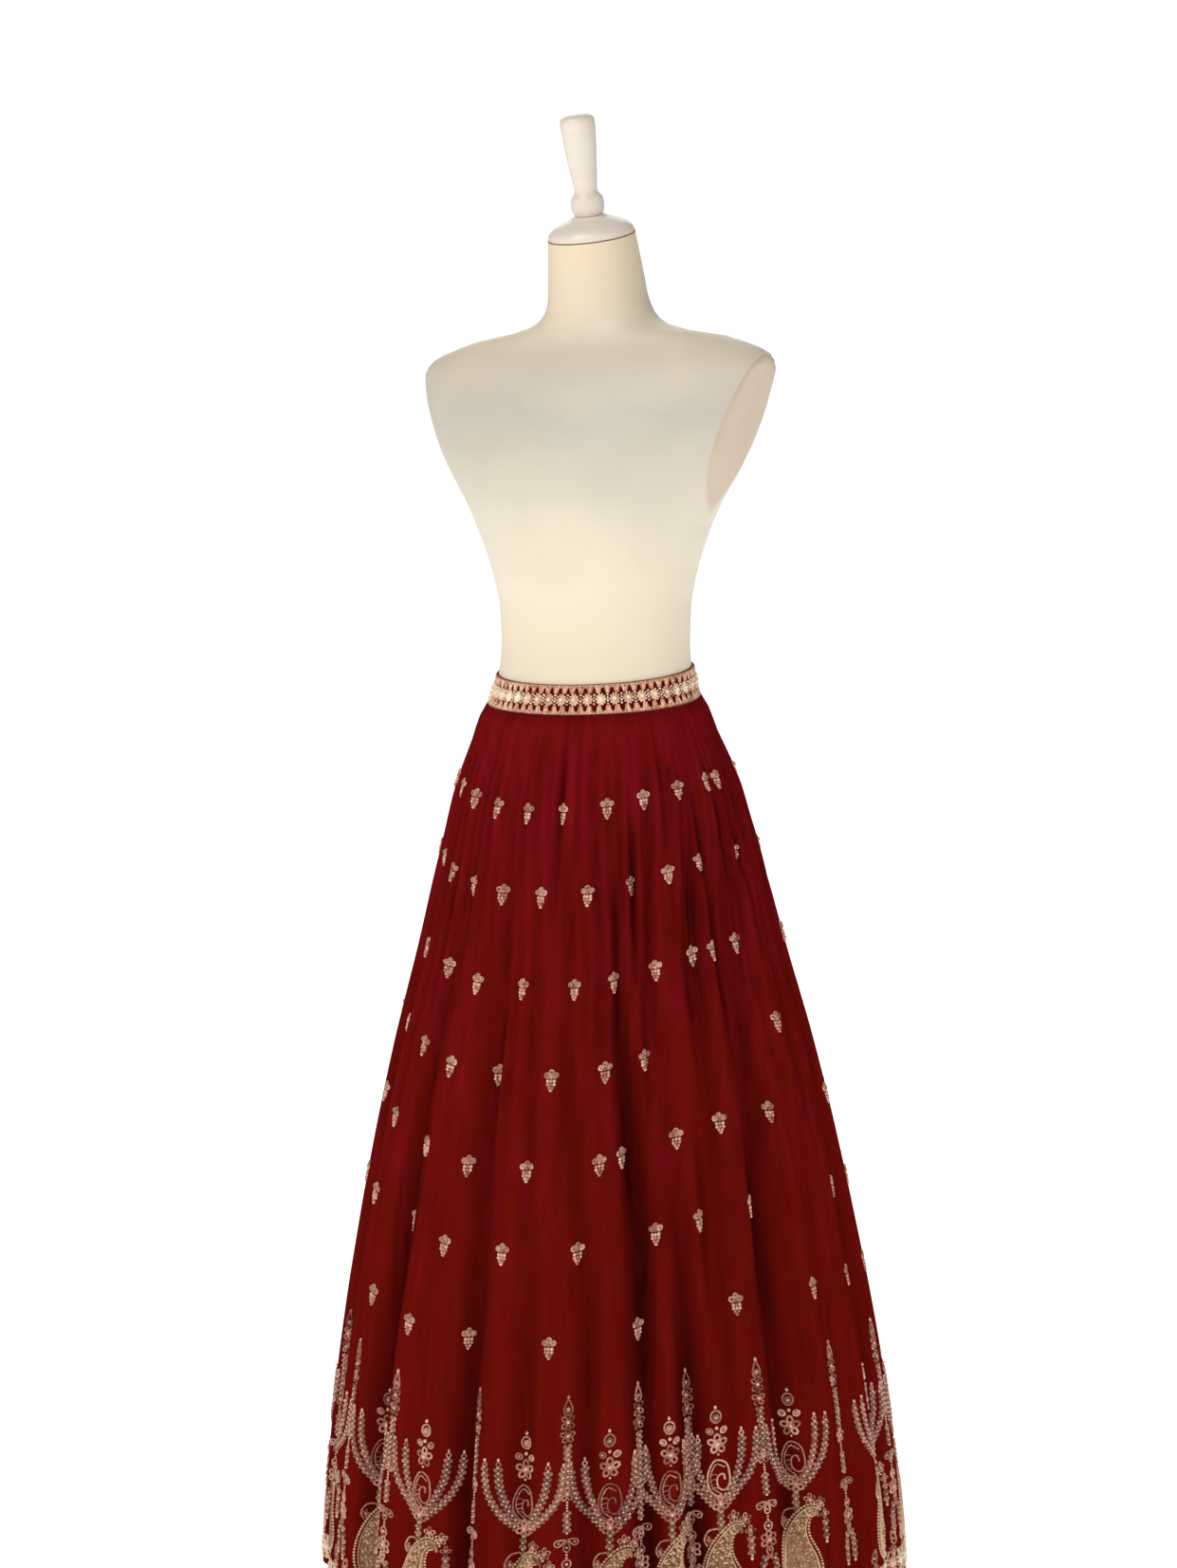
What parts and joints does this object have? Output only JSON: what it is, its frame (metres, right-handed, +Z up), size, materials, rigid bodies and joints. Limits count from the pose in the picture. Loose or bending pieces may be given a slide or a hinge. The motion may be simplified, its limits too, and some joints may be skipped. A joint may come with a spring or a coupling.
{
  "type": "lehenga skirt on dress form",
  "caption": "Floor-length gathered bell skirt with a shaped beaded waistband, worn by a limbless dress form on a plain round stand.",
  "frame": {"origin": "centre of the stand base's flat underside, on the floor", "axes": "+Z up along the stand's pole, -Y the way the dress form faces, +X the wearer's left"},
  "size_m": [0.6835, 0.6972, 1.7148],
  "materials": {
    "skirt_cloth": "deep red soft georgette with gold thread and bead embroidery",
    "waistband_beadwork": "maroon cloth covered with pale gold stones, beads and thread",
    "form_shell": "cream, smooth, satin",
    "turned_lacquer": "turned and lacquered off-white, satin",
    "stand_metal": "off-white enamel, satin"
  },
  "bodies": {
    "root": {"skirt_front": "skirt_cloth", "skirt_left": "skirt_cloth", "skirt_back": "skirt_cloth", "skirt_right": "skirt_cloth", "waistband": "waistband_beadwork", "waistband_tab": "skirt_cloth", "form_torso": "form_shell", "neck_cap": "turned_lacquer", "finial": "turned_lacquer", "stand_collar": "stand_metal", "stand_pole": "stand_metal", "stand_base": "stand_metal"}
  },
  "joints": []
}
